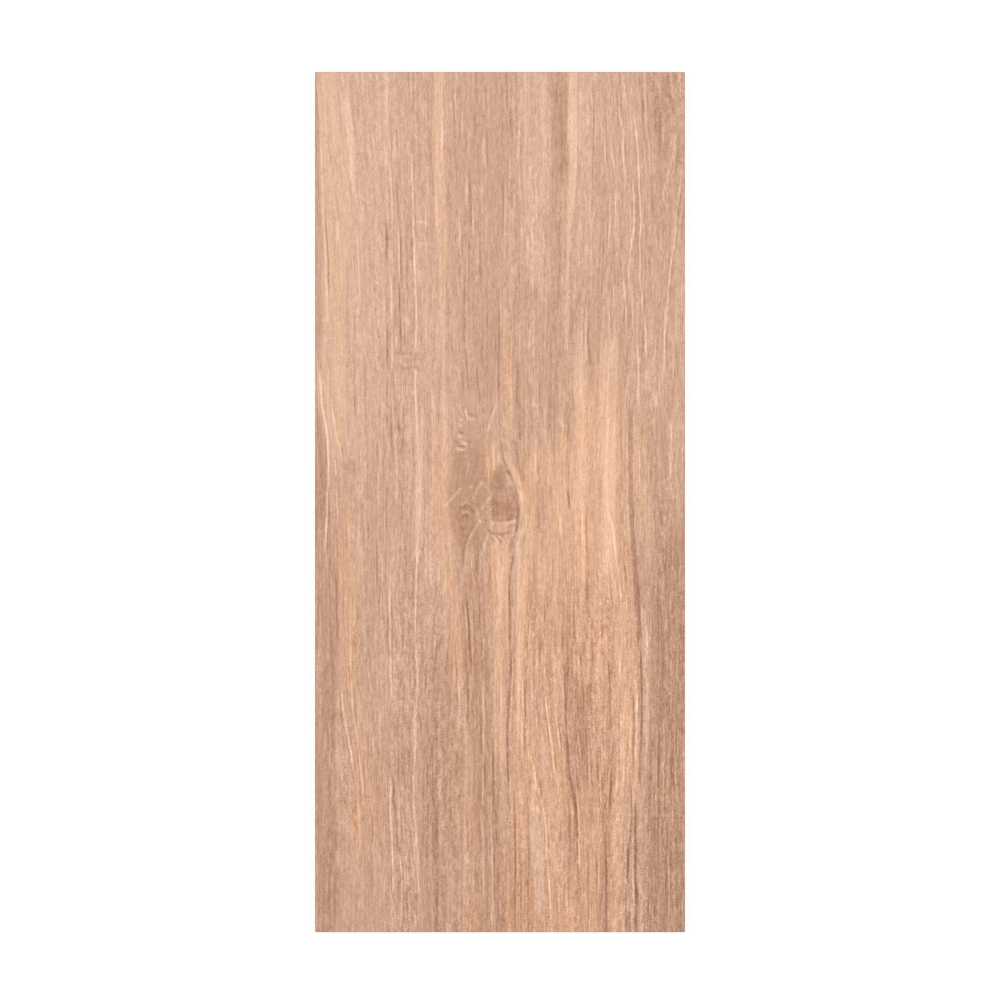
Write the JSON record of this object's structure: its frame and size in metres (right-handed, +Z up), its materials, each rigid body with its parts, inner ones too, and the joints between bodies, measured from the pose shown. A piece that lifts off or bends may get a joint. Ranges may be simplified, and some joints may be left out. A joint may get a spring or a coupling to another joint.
{
  "type": "wood-effect porcelain tile",
  "caption": "Flat rectangular porcelain plank tile with a wood-grain printed face, fine bevelled edges and a ribbed keying back, for bonding to floors or walls.",
  "frame": {"origin": "centre of the back, on the rib crests that rest on the floor or in the adhesive", "axes": "+X across the plank, +Y along the plank and its printed grain, +Z up out of the printed face"},
  "size_m": [0.258, 0.6, 0.009],
  "materials": {
    "porcelain": "satin"
  },
  "bodies": {
    "root": {"porcelain_tile": "porcelain"}
  },
  "joints": []
}
